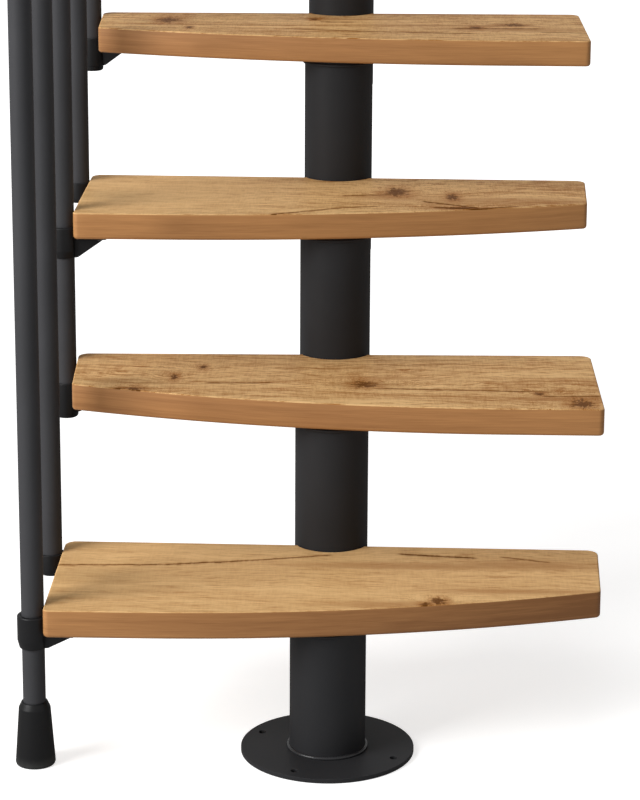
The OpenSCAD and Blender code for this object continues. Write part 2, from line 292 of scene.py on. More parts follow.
def corner_arc(before, corner, after, radius, steps):
    """Arc that touches both edges of a corner, its centre on the bisector, between the tangent points."""
    to_a = (before - corner) / np.linalg.norm(before - corner)
    to_b = (after - corner) / np.linalg.norm(after - corner)
    half = math.acos(float(to_a @ to_b)) / 2
    bisector = (to_a + to_b) / np.linalg.norm(to_a + to_b)
    centre = corner + bisector * radius / math.sin(half)
    start = corner + to_a * radius / math.tan(half) - centre
    turn = math.copysign(1, to_a[1] * to_b[0] - to_a[0] * to_b[1])
    angles = math.atan2(start[1], start[0]) + turn * np.linspace(0, math.pi - 2 * half, steps)
    return centre + radius * np.stack([np.cos(angles), np.sin(angles)], axis=1)


def around(count):
    """Angles of a full turn in equal steps."""
    return np.linspace(0, 2 * math.pi, count, endpoint=False)


def ring(radius, count):
    """Points of a circle, counter-clockwise."""
    angles = around(count)
    return np.stack([radius * np.cos(angles), radius * np.sin(angles)], axis=1)


def revolve(profile, x, y, count, flat=None):
    """Grid of a turned shape: radius r(z) all the way round.

    With flat, the radius is the smaller of r and flat / cos(angle), which cuts the +X side along a plane.
    """
    angles = around(count)
    facing = np.cos(angles)[None]
    radius = np.broadcast_to(profile[:, 0, None], (len(profile), count))
    if flat is not None:
        limit = np.where(facing > SIDEWAYS, flat / np.maximum(facing, SIDEWAYS), np.inf)
        radius = np.minimum(radius, limit)
    height = np.broadcast_to(profile[:, 1, None], radius.shape)
    return np.stack([x + radius * facing, y + radius * np.sin(angles), height], axis=2)


def sweep(path, radius, sides=10):
    """Grid of a bead along a closed path: a circle of the given radius per point, square to the path."""
    along = np.roll(path, -1, axis=0) - np.roll(path, 1, axis=0)
    along /= np.linalg.norm(along, axis=1, keepdims=True)
    side = np.cross(along, OBLIQUE)
    side /= np.linalg.norm(side, axis=1, keepdims=True)
    other = np.cross(along, side)
    angles = around(sides)[None, :, None]
    circle = np.cos(angles) * side[:, None] + np.sin(angles) * other[:, None]
    return path[:, None] + radius[:, None, None] * circle


# ---------------------------------------------------------------- shader maths

class Value:
    """Wraps a socket, so that sums and products of values are written as plain expressions."""

    def __init__(self, shader, socket):
        self.shader = shader
        self.socket = socket

    def math(self, operation, *others):
        values = {i + 1: other for i, other in enumerate(others)}
        return self.shader.make("ShaderNodeMath", {"operation": operation}, {0: self, **values})

    def __add__(self, other):
        return self.math("ADD", other)

    __radd__ = __add__

    def __mul__(self, other):
        return self.math("MULTIPLY", other)

    __rmul__ = __mul__

    def __sub__(self, other):
        return self.math("SUBTRACT", other)

    def __rsub__(self, other):
        return self.shader.make("ShaderNodeMath", {"operation": "SUBTRACT"}, {0: other, 1: self})

    def __truediv__(self, other):
        return self.math("DIVIDE", other)

    def __rtruediv__(self, other):
        return self.shader.make("ShaderNodeMath", {"operation": "DIVIDE"}, {0: other, 1: self})

    def __neg__(self):
        return self.math("MULTIPLY", -1.0)

    def __abs__(self):
        return self.math("ABSOLUTE")

    def __pow__(self, other):
        return self.math("POWER", other)

    def clamp(self):
        return self.shader.make(
            "ShaderNodeMath", {"operation": "ADD", "use_clamp": True}, {0: self, 1: 0.0}
        )

    def between(self, start, end):
        """0 at start, 1 at end, smooth between them; start may be the larger."""
        return self.shader.make(
            "ShaderNodeMapRange", {"interpolation_type": "SMOOTHSTEP"},
            {"Value": self, "From Min": start, "From Max": end},
        )


class Shader:
    """The nodes of a new material, or of the world."""

    def __init__(self, name, owner=None):
        self.owner = owner or bpy.data.materials.new(name)
        self.owner.use_nodes = True
        self.tree = self.owner.node_tree
        self.surface = self.tree.nodes.get("Principled BSDF")

    def make(self, kind, settings=None, values=None, out=0):
        """Adds a node: its settings first, then the values or links of its sockets."""
        node = self.tree.nodes.new(kind)
        for key, setting in (settings or {}).items():
            setattr(node, key, setting)
        self.feed(node, values or {})
        return Value(self, node.outputs[out])

    def feed(self, node, values):
        """Links or sets a node's sockets; underscores in a name stand for spaces."""
        for key, value in values.items():
            socket = node.inputs[key.replace("_", " ") if isinstance(key, str) else key]
            if isinstance(value, Value):
                self.tree.links.new(value.socket, socket)
            elif socket.type == "RGBA":
                socket.default_value = (*value, 1.0)
            else:
                socket.default_value = value

    def finish(self, **values):
        self.feed(self.surface, values)
        return self.owner

    def show(self, node_name, shader_value):
        """Takes a closure to the surface of an output node."""
        self.feed(self.tree.nodes[node_name], {"Surface": shader_value})

    def soften(self, gloss, **values):
        """Finishes a dull coat: the surface keeps only this share of its gloss, over a fully matt twin."""
        self.finish(**values)
        twin = {key: values[key] for key in ("Base_Color", "Normal")}
        matt = self.make("ShaderNodeBsdfPrincipled", None, {**twin, "Specular_IOR_Level": 0.0})
        glossy = Value(self, self.surface.outputs[0])
        self.show("Material Output", self.make("ShaderNodeMixShader", None, {0: gloss, 1: matt, 2: glossy}))
        return self.owner

    def place(self, centre=(0.0, 0.0, 0.0)):
        """Object coordinates as three values, seen from a centre."""
        point = self.make("ShaderNodeTexCoord", out="Object")
        point = self.make(
            "ShaderNodeMapping", {"vector_type": "TEXTURE"}, {"Vector": point, "Location": centre}
        )
        outputs = self.make("ShaderNodeSeparateXYZ", None, {"Vector": point}).socket.node.outputs
        return [Value(self, output) for output in outputs]

    def vector(self, x, y, z):
        return self.make("ShaderNodeCombineXYZ", None, {0: x, 1: y, 2: z})

    def noise(self, vector, scale, detail, roughness, distortion=0.0):
        return self.make("ShaderNodeTexNoise", {"noise_dimensions": "3D"}, {
            "Vector": vector, "Scale": scale, "Detail": detail, "Roughness": roughness,
            "Distortion": distortion,
        })

    def mix(self, factor, one, other):
        """Colour mix: one where the factor is 0, other where it is 1."""
        return self.make(
            "ShaderNodeMix", {"data_type": "RGBA"}, {"Factor": factor, 6: one, 7: other}, out=2
        )

    def bump(self, height, distance, strength):
        return self.make(
            "ShaderNodeBump", None, {"Height": height, "Distance": distance, "Strength": strength}
        )


def strongest(masks):
    """The largest of several masks at each point."""
    return reduce(lambda one, other: one.math("MAXIMUM", other), masks)


def ellipse(x, y, mark):
    """Place over an ellipse in its own half lengths: (x - cx) / rx and (y - cy) / ry."""
    cx, cy, rx, ry = mark
    return (x - cx * MM) / (rx * MM), (y - cy * MM) / (ry * MM)


def patches(x, y, marks, ragged, start, end):
    """Soft ellipses whose rims a noise makes ragged."""
    masks = []
    for mark in marks:
        dx, dy = ellipse(x, y, mark)
        masks.append(((dx * dx + dy * dy) ** 0.5 + ragged).between(start, end))
    return strongest(masks)


# What the eye finds on each oak face, in millimetres: x across the stair, then how far ahead of the next
# tube's axis.  A crack runs from one place to another and has a width; knots, stains and smoke patches are
# ellipses: place, then half their length along the grain and across it.  The smoke patches near the left
# ends, by the uprights, are painted shadows of the uprights; those further right are smoky wood.
FACE_MARKS = {
    1: {
        "cracks": [
            (-384, 121, -225, 113, 1.0), (-225, 113, -110, 92, 1.5), (-110, 92, 0, 66, 0.9),
            (95, 58, 200, 71, 1.8), (235, 66, 300, 86, 0.8),
        ],
        "knots": [(145, 246, 12, 14), (128, 258, 8, 9)],
        "smoke_and_shadow": [(-310, 160, 75, 34)],
        "stains": [(110, 108, 200, 17), (270, 100, 130, 24), (90, 262, 120, 18), (240, 205, 140, 14)],
    },
    2: {
        "cracks": [
            (-320, 221, -285, 219, 2.0), (-175, 186, -85, 182, 1.2), (60, 206, 300, 215, 1.1),
            (290, 236, 368, 236, 1.3),
        ],
        "knots": [
            (-272, 221, 16, 14), (-186, 101, 7, 14), (45, 186, 20, 22), (285, 224, 8, 10),
            (341, 272, 18, 26), (-223, 158, 6, 20),
        ],
        "smoke_and_shadow": [(-300, 180, 80, 20), (45, 187, 60, 24)],
        "stains": [(60, 150, 110, 10), (300, 250, 80, 16)],
    },
    3: {
        "cracks": [
            (-110, 305, -50, 276, 1.8), (-50, 276, 10, 246, 1.4), (10, 246, 60, 232, 0.9),
            (125, 196, 205, 240, 2.4), (140, 238, 205, 246, 3.0), (205, 244, 262, 224, 1.5),
            (10, 160, 80, 150, 1.3),
        ],
        "knots": [(88, 132, 19, 36), (169, 165, 10, 28), (176, 240, 34, 9)],
        "smoke_and_shadow": [(-330, 165, 70, 40)],
        "stains": [(250, 190, 170, 30), (250, 245, 150, 22), (70, 165, 80, 18)],
    },
    4: {
        "cracks": [
            (-80, 196, 60, 222, 1.4), (60, 222, 200, 232, 1.6), (170, 180, 300, 178, 2.0),
            (-30, 120, 20, 124, 1.3), (300, 212, 372, 220, 1.2),
        ],
        "knots": [
            (-262, 112, 20, 34), (205, 172, 12, 18), (262, 140, 22, 16), (-40, 92, 8, 16), (-225, 190, 7, 14),
        ],
        "smoke_and_shadow": [(-290, 125, 60, 24)],
        "stains": [(0, 90, 130, 10), (250, 190, 130, 22), (180, 150, 150, 12)],
    },
    5: {
        "cracks": [(-300, 236, -160, 250, 1.7), (-160, 250, -40, 238, 1.4), (60, 96, 220, 104, 1.6)],
        "knots": [(-60, 166, 14, 20), (250, 136, 10, 12)],
        "smoke_and_shadow": [(-250, 100, 90, 26)],
        "stains": [(40, 190, 150, 12)],
    },
    6: {
        "cracks": [(-250, 120, -120, 112, 1.5), (40, 236, 190, 226, 1.9), (190, 226, 330, 240, 1.4)],
        "knots": [(120, 120, 16, 24), (-180, 176, 9, 14), (310, 190, 10, 12)],
        "smoke_and_shadow": [(260, 120, 90, 24)],
        "stains": [(-60, 160, 120, 10)],
    },
}

# How dark each face is, how strong its grain, and how much stronger the grain gets to the right.
FACE_TONE = {
    1: (-0.05, 0.56, 0.3),
    2: (0.08, 1.20, 0.0),
    3: (-0.06, 1.15, 2.2),
    4: (0.02, 1.35, 0.0),
    5: (0.04, 0.90, 0.0),
    6: (0.08, 1.10, 0.0),
}

# How dark each edge band is, and how much darker it gets from the middle to the right end (lighter where
# negative); that second number is painted shade and light along the band's front.
BAND_TONE_AND_SHADE = {
    1: (0.62, 0.60), 2: (0.36, -0.20), 3: (0.14, -0.15), 4: (0.30, -0.50), 5: (0.20, 0.0), 6: (0.20, 0.0),
}


def oak_face(k, settings):
    """Oak face of tread k.

    Growth lines are the sine of the distance across the board, bent by noise that is stretched along the
    grain and pushed aside round each knot.  Fine fibres, pores and saw marks are stretched noise too.
    """
    shader = Shader(f"oak_face_{k}")
    axis_y = middle(f"column_{k + 1}").y
    x, y, z = shader.place(centre=(0.0, axis_y, 0.0))
    ahead = -y
    marks = FACE_MARKS[k]
    seed = 3.7 * k

    wander = shader.noise(shader.vector(x * 2.2, y * 7.0, z * 7.0 + seed), 1.0, 3.0, 0.55)
    push = wander * 0.12
    hearts, halos = [], []
    tear = shader.noise(shader.vector(x * 70.0, y * 210.0, seed), 1.0, 4.0, 0.8) * 4.2 - 2.1
    tilt = shader.noise(shader.vector(x * 150.0, y * 60.0, seed + 8.0), 1.0, 3.0, 0.8) * 2.8 - 1.4
    for mark in marks["knots"]:
        dx, dy = ellipse(x, ahead, mark)
        dx, dy = dx + tear * 0.9, dy + tilt
        push = push + 0.024 / (1.0 + dx * dx * 0.12 + dy * dy)
        ragged = (dx * dx + dy * dy) ** 0.5
        hearts.append(ragged.between(0.95, 0.45))
        halos.append(ragged.between(2.2, 0.3))
    heart, halo = strongest(hearts), strongest(halos)

    line = (ahead * 9.0 + push * 9.0) * 26.0
    growth = line.math("SINE") * 0.5 + 0.5
    growth = growth ** 2.2
    strength = shader.noise(shader.vector(x * 1.6, y * 14.0, z + seed), 1.0, 2.0, 0.5).between(0.38, 0.68)
    bands = shader.noise(shader.vector(x * 1.1, y * 26.0 + push * 60.0, seed), 1.0, 3.0, 0.6)
    fibre = shader.noise(shader.vector(x * 45.0, (y + push) * 480.0, z * 300.0 + seed), 1.0, 4.0, 0.62)
    flame = shader.noise(shader.vector(x * 4.0, (y + push * 0.6) * 90.0, seed), 1.0, 4.0, 0.68, 0.2)
    streak = shader.noise(shader.vector(x * 24.0, (y + push * 0.6) * 340.0, seed + 4.0), 1.0, 3.0, 0.7)
    pore_noise = shader.noise(shader.vector(x * 42.0, (y + push) * 900.0, seed), 1.0, 2.0, 0.5)
    pores = pore_noise.between(0.60, 0.70)
    saw = shader.noise(shader.vector(x * 420.0 + wander * 6.0, y * 34.0, seed), 1.0, 2.0, 0.5)

    tone, contrast, lean = FACE_TONE[k]
    dark = (contrast + (x * lean).math("MAXIMUM", -0.55)) * (
        (bands - 0.5) * 1.4
        + growth * strength * 0.24
        + (flame - 0.5) * 0.9
        + streak.between(0.50, 0.70) * 0.75
        + (fibre - 0.5) * 1.9
        + pores * 0.25
        + (saw - 0.5) * 0.50
    ) + (x * (lean * 0.09) + (0.20 + tone))

    # Smoke patches: painted shadows of the uprights at the left ends, smoky wood further right.
    smoke_and_shadow = patches(x, ahead, marks["smoke_and_shadow"], (flame - 0.5) * 0.9, 1.35, 0.05)
    stain = patches(x, ahead, marks["stains"], (bands - 0.5) * 1.2, 1.3, 0.2)

    cracks, rims = [], []
    for x0, a0, x1, a1, w in marks["cracks"]:
        along = ((x - x0 * MM) / ((x1 - x0) * MM)).clamp()
        wiggle = (shader.noise(shader.vector(x * 55.0, seed, a0 * 0.1), 1.0, 3.0, 0.6) - 0.5) * 0.007
        line_at = a0 * MM + along * ((a1 - a0) * MM) + wiggle
        past = abs((x - (x0 + x1) / 2 * MM) / ((x1 - x0) / 2 * MM))
        taper = past.between(1.14, 0.90)
        pulse = shader.noise(shader.vector(x * 90.0, seed + a1, 0.0), 1.0, 2.0, 0.6).between(0.28, 0.62)
        wide = taper * (w * MM) * (0.65 + pulse * 0.95) + 0.00001
        away = abs(ahead - line_at)
        cracks.append((away / wide).between(1.15, 0.65) * taper)
        rims.append((away / (wide * 3.0 + 0.0025)).between(1.2, 0.1) * taper)
    crack, rim = strongest(cracks), strongest(rims)

    colour = shader.mix(dark.clamp(), settings.face_colour[:], settings.grain_colour[:])
    colour = shader.mix(stain * 0.62, colour, (0.37, 0.172, 0.058))
    # Darkens the smoke patches: painted shadow of the uprights at the left ends, smoky wood elsewhere.
    colour = shader.mix(smoke_and_shadow * 0.30, colour, (0.24, 0.145, 0.055))
    colour = shader.mix(rim * 0.55, colour, (0.33, 0.140, 0.036))
    colour = shader.mix(halo * 0.70, colour, (0.31, 0.108, 0.018))
    colour = shader.mix(heart * 0.92, colour, settings.crack_colour[:])
    colour = shader.mix(crack * 0.95, colour, settings.crack_colour[:])

    height = (1.0 - fibre) * 0.35 - pores * 0.5 - crack * 2.0 - heart * 1.2 + saw * 0.15
    rough = 0.46 + fibre * 0.12 + crack * 0.2
    return shader.finish(
        Base_Color=colour, Roughness=rough, Specular_IOR_Level=0.02,
        Normal=shader.bump(height, 0.00022, 0.6),
    )


def oak_band(k, settings):
    """Edge band of tread k: a redder strip whose grain runs along the edge, with fine darker lines, and
    painted shade and light along its length.
    """
    shader = Shader(f"oak_band_{k}")
    tone, lean = BAND_TONE_AND_SHADE[k]
    x, y, z = shader.place()
    along = x + y * 0.35
    wander = shader.noise(shader.vector(along * 3.0, z * 22.0, y * 3.0), 1.0, 3.0, 0.55)
    line = ((z + wander * 0.016) * 620.0).math("SINE") * 0.5 + 0.5
    fibre = shader.noise(shader.vector(along * 16.0, (z + wander * 0.01) * 520.0, 1.0), 1.0, 4.0, 0.6)
    broad = shader.noise(shader.vector(along * 4.0, z * 60.0, 4.0), 1.0, 3.0, 0.6)
    # Painted shade and light: the band darkens towards the right end by lean, and lightens where lean is
    # negative.
    drop = (x * lean * 1.4).math("MINIMUM", 0.40) + tone
    dark = line * 0.10 + (fibre - 0.5) * 0.85 + (broad - 0.5) * 0.9 + drop
    colour = shader.mix(dark.clamp(), settings.band_colour[:], (0.225, 0.092, 0.028))
    height = 1.0 - fibre
    return shader.finish(
        Base_Color=colour, Roughness=0.50 + fibre * 0.10, Specular_IOR_Level=0.3,
        Normal=shader.bump(height, 0.00012, 0.5),
    )


def lighter(colour, times):
    return tuple(part * times for part in colour)


def powder_coat(settings, name="spine_coat", base=None, gloss=0.28, smoother=0.0):
    """Black powder coat: orange peel from two noises, and a gloss that drifts a little."""
    shader = Shader(name)
    base = tuple(base or settings.coat_colour)
    point = shader.vector(*shader.place())
    peel = shader.noise(point, 1.0 / settings.coat_grain, 2.0, 0.6)
    soft = shader.noise(point, 0.25 / settings.coat_grain, 1.0, 0.5)
    drift = shader.noise(point, 9.0, 2.0, 0.5)
    colour = shader.mix(drift, base, lighter(base, 1.5))
    rough = settings.coat_roughness - smoother - 0.04 + drift * 0.08 + (peel - 0.5) * 0.10
    return shader.soften(
        gloss, Base_Color=colour, Roughness=rough,
        Normal=shader.bump(peel + soft * 1.5, 0.00006, 0.22),
    )


def moulded_plastic(settings):
    """Moulded black plastic: fine spark-eroded grain, a little duller on some patches."""
    shader = Shader("moulded_black")
    point = shader.vector(*shader.place())
    grain = shader.noise(point, 1500.0, 2.0, 0.6)
    drift = shader.noise(point, 22.0, 2.0, 0.5)
    colour = shader.mix(drift, settings.plastic_colour[:], lighter(settings.plastic_colour, 1.5))
    return shader.soften(
        0.35, Base_Color=colour, Roughness=0.36 + drift * 0.10,
        Normal=shader.bump(grain, 0.00005, 0.3),
    )


def foot_rubber(settings):
    """Rubber: dull and fine-grained, with dust-grey wear near the floor."""
    shader = Shader("foot_rubber")
    x, y, z = shader.place()
    point = shader.vector(x, y, z)
    grain = shader.noise(point, 900.0, 3.0, 0.6)
    wear = shader.noise(point, 60.0, 3.0, 0.6) * z.between(0.016, 0.0)
    colour = shader.mix(wear, settings.rubber_colour[:], (0.05, 0.05, 0.048))
    return shader.soften(
        0.35, Base_Color=colour, Roughness=0.40 + grain * 0.12,
        Normal=shader.bump(grain, 0.00006, 0.4),
    )


def lit_rail_coat(settings):
    """The balustrade's coat: the spine's coat with a lighter base, painted light for the brighter-lit
    uprights.
    """
    return powder_coat(settings, "lit_rail_coat", settings.rail_lit_colour)


def weld_coat(settings):
    """The coat over the weld beads, where it glints."""
    return powder_coat(settings, "weld_coat", settings.coat_colour, gloss=0.45, smoother=0.22)


def screw_steel(settings):
    """Blackened screw steel, with fine turning marks."""
    shader = Shader("screw_steel")
    x, y, z = shader.place()
    grain = shader.noise(shader.vector(x * 300.0, y * 300.0, z * 2500.0), 1.0, 2.0, 0.6)
    colour = shader.mix(grain, settings.zinc_colour[:], lighter(settings.zinc_colour, 1.6))
    return shader.finish(
        Base_Color=colour, Metallic=0.8, Roughness=0.32 + grain * 0.16,
        Normal=shader.bump(grain, 0.00003, 0.3),
    )


def material(name, maker, settings):
    """The named material, made the first time it is asked for."""
    return bpy.data.materials.get(name) or maker(settings)


def dress(node, finish):
    """Gives a carried CAD node its finish."""
    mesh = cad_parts[node].data
    mesh.materials.clear()
    mesh.materials.append(finish)


def eased_copy(node, name, slot, finish, round_by):
    """Copies a CAD node, merges its doubles, joins its flat triangles and bevels its edges."""
    mesh = bpy.data.meshes.new(name)
    work = bmesh.new()
    work.from_mesh(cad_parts[node].data)
    bmesh.ops.remove_doubles(work, verts=work.verts, dist=1e-6)
    bmesh.ops.dissolve_limit(work, angle_limit=math.radians(0.6), verts=work.verts, edges=work.edges)
    bmesh.ops.recalc_face_normals(work, faces=work.faces)
    work.to_mesh(mesh)
    work.free()
    piece = place(name, mesh, slot, [finish], [node], sharp=34)
    bevel = piece.modifiers.new("eased edges", "BEVEL")
    bevel.width = round_by
    bevel.segments = 2
    bevel.limit_method = "ANGLE"
    bevel.angle_limit = math.radians(40)
    bevel.harden_normals = True


# ---------------------------------------------------------------- treads

def tread_loop(s):
    """A tread's plan, deep on the left, from the next tube's axis, counter-clockwise.

    Straight back edge with the round notch in it, rounded ends, a straight front and one wide arc whose
    drop at distance d from its start is r - sqrt(r^2 - d^2).
    """
    half = -TREAD_END
    front = middle("column_2").y - low("tread_1").y
    back_left = np.array([-half, -s.back_deep])
    back_right = np.array([half, -s.back_narrow])
    front_left = np.array([-half, -front])
    end_angle = math.acos(1 - s.fall_back / s.sweep_radius)
    sweep_start = half - s.end_lean - s.sweep_radius * math.sin(end_angle)
    angles = np.linspace(0, end_angle, ARC_POINTS)
    arc = s.sweep_radius * np.stack([np.sin(angles), 1 - np.cos(angles)], axis=1) + [sweep_start, -front]
    along_front = np.linspace(-half + 0.02, sweep_start - 0.004, FRONT_POINTS)
    straight = np.stack([along_front, np.full(FRONT_POINTS, -front)], axis=1)
    front_right = arc[-1]

    reach = TUBE_R + s.notch_gap
    along = (back_left - back_right) / np.linalg.norm(back_left - back_right)
    foot = back_right - (back_right @ along) * along
    chord = math.sqrt(reach * reach - float(foot @ foot))
    right_lip = foot - along * chord
    left_lip = foot + along * chord
    angles = np.linspace(math.atan2(*right_lip[::-1]), math.atan2(*left_lip[::-1]), NOTCH_POINTS)
    notch = reach * np.stack([np.cos(angles), np.sin(angles)], axis=1)

    def run(p, q, count):
        return p + (q - p) * np.linspace(0, 1, count + 2)[1:-1, None]

    right_front = corner_arc(arc[-2], front_right, back_right, s.front_corner, 9)
    right_back = corner_arc(front_right, back_right, back_left, s.back_corner, 11)
    left_back = corner_arc(back_right, back_left, front_left, s.back_corner, 11)
    left_front = corner_arc(back_left, front_left, arc[0], s.front_corner, 9)
    kept_arc = arc[arc[:, 0] < right_front[0, 0] - 0.003]
    return np.concatenate([
        kept_arc, right_front, run(right_front[-1], right_back[0], 4), right_back,
        run(right_back[-1], right_lip, 8), notch, run(left_lip, left_back[0], 8), left_back,
        run(left_back[-1], left_front[0], 6), left_front, straight,
    ])


class STAIR_OT_treads(bpy.types.Operator):
    """Makes the six oak treads with rounded edges, an oak face of their own and an edge band"""

    bl_idname = "stair.treads"
    bl_label = "Oak treads"

    def execute(self, context):
        s = context.scene.stair_treads
        for k in TREADS:
            loop = tread_loop(s)
            if not deep_on_left(k):
                loop = (loop * [-1, 1])[::-1]
            loop = loop + [0.0, middle(f"column_{k + 1}").y]
            node = f"tread_{k}"
            profile = edge_profile(low(node).z, high(node).z, s.under_round, s.top_round)
            points, faces = join([slab(loop, profile)])
            band = np.ones(len(faces), dtype=np.int32)
            band[: len(loop)] = 0
            band[(len(profile) - 1 - TOP_ROWS) * len(loop):] = 0
            finishes = [oak_face(k, s), oak_band(k, s)]
            put_mesh(f"oak_tread_{k}", points, faces, "oak", finishes, [node], face_kind=band)
        return {"FINISHED"}


# ---------------------------------------------------------------- spine

def bead(path, length, s, thickness=1.0):
    """Weld bead along a closed path: its radius swells once per ripple, as |sin| of the length along it."""
    along = np.linspace(0, 1, len(path), endpoint=False)
    ripple = np.abs(np.sin(math.pi * round(length / s.bead_pitch) * along))
    return sweep(path, s.bead_radius * thickness * (0.92 + 0.10 * ripple))


class STAIR_OT_spine(bpy.types.Operator):
    """Finishes the spine: tubes and arms in powder coat, and the weld beads between them"""

    bl_idname = "stair.spine"
    bl_label = "Tube spine"

    def execute(self, context):
        s = context.scene.stair_steel
        coat = material("spine_coat", powder_coat, s)
        for k in TUBES:
            dress(f"column_{k}", coat)
        for k in TREADS:
            eased_copy(f"arm_{k}", f"carrier_arm_{k}", "powder_coat", coat, s.edge_round)
        dress("column_cap", material("moulded_black", moulded_plastic, context.scene.stair_fittings))
        self.beads(s, coat)
        return {"FINISHED"}

    def beads(self, s, coat):
        """A ring where tube 1 meets its flange, rings under the saddle plates, and a bead along each cope."""
        circle, girth = ring(TUBE_R + s.bead_gap, RING_POINTS), 2 * math.pi * TUBE_R
        foot = np.column_stack([circle, np.full(RING_POINTS, high("base_plate").z + RING_UP)])
        points, faces = join([bead(foot, girth, s)], caps=False, close_rows=True)
        put_mesh("foot_weld", points, faces, "powder_coat", [material("weld_coat", weld_coat, s)], sharp=60)
        grids = []
        for k in TREADS:
            under, axis = high(f"column_{k}").z, middle(f"column_{k}").y
            path = np.column_stack([circle, np.full(RING_POINTS, under - RING_DOWN)]) + [0, axis, 0]
            grids.append(bead(path, girth, s, 0.8))
            grids.append(self.cope(k, under, axis, 1, s))
            grids.append(self.cope(k, under, middle(f"column_{k + 1}").y, -1, s))
        points, faces = join(grids, caps=False, close_rows=True)
        put_mesh("weld_beads", points, faces, "powder_coat", [coat], sharp=60)

    def cope(self, k, under, axis, side, s):
        """Bead round an arm's end: the arm's rectangle, with y = sqrt(r^2 - x^2) from the tube's axis."""
        half, bottom = s.arm_width / 2, low(f"arm_{k}").z
        corners = np.array([[-half, bottom], [half, bottom], [half, under], [-half, under]])
        turns = np.linspace(0, 4, COPE_POINTS, endpoint=False)
        index = turns.astype(int)
        part = (turns - index)[:, None]
        flat = corners[index] * (1 - part) + corners[(index + 1) % 4] * part
        depth = axis + side * np.sqrt(TUBE_R ** 2 - flat[:, 0] ** 2)
        path = np.column_stack([flat[:, 0], depth, flat[:, 1]])
        return bead(path, 2 * (s.arm_width + under - bottom), s, 0.75)


# ---------------------------------------------------------------- floor flange and landing flange

class STAIR_OT_flanges(bpy.types.Operator):
    """Finishes the round floor flange and the landing flange with eased edges"""

    bl_idname = "stair.flanges"
    bl_label = "Flanges"

    def execute(self, context):
        s = context.scene.stair_steel
        coat = material("spine_coat", powder_coat, s)
        eased_copy("base_plate", "floor_flange", "powder_coat", coat, s.edge_round)
        eased_copy("landing_flange", "landing_bracket", "powder_coat", coat, s.edge_round)
        return {"FINISHED"}


# ---------------------------------------------------------------- clamps, cups and foot

def turned_profile(parts, steps=5):
    """(radius, height) pairs of a turned body, with a small arc at each (radius, height, rounding) corner."""
    corners = np.array([p[:2] for p in parts], dtype=float)
    rows = [corners[:1]]
    for i in range(1, len(parts) - 1):
        radius = parts[i][2]
        if radius <= 0:
            rows.append(corners[i: i + 1])
        else:
            rows.append(corner_arc(corners[i - 1], corners[i], corners[i + 1], radius, steps))
    rows.append(corners[-1:])
    return np.concatenate(rows)


def rounded(corners, radii):
    """A polygon with an arc at each corner."""
    return np.concatenate([
        corner_arc(corners[i - 1], corners[i], corners[(i + 1) % len(corners)], radius, 5)
        for i, radius in enumerate(radii)
    ])


def lug(k, y, root, tip, s):
    """A lug under a tread: a web whose plan is its side view, laid on its side, and a foot plate."""
    under, end = low(f"tread_{k}").z, TREAD_END + s.lug_reach
    inside = UPRIGHT_X + LUG_ROOT
    outline = np.array([
        [inside, under - root], [TREAD_END + LUG_ROOT, under - root], [end, under - tip],
        [end, under - LUG_GAP], [inside, under - LUG_GAP],
    ])
    side_view = rounded(outline, (0.0015, 0.01, 0.0015, 0.0015, 0.0015))
    flat = slab(side_view, edge_profile(-s.web / 2, s.web / 2, 0.0012, 0.0012, 4, 0.0003))
    web = np.stack([flat[..., 0], y - flat[..., 2], flat[..., 1]], axis=2)

    start, half = TREAD_END + 0.0005, s.lug_plate / 2
    corners = np.array([[start, y - half], [end, y - half], [end, y + half], [start, y + half]])
    profile = edge_profile(under - LUG_PLATE_T, under - PLATE_GAP, 0.001, 0.0003, 4, 0.0003)
    return [web, slab(rounded(corners, (0.004,) * 4), profile)]


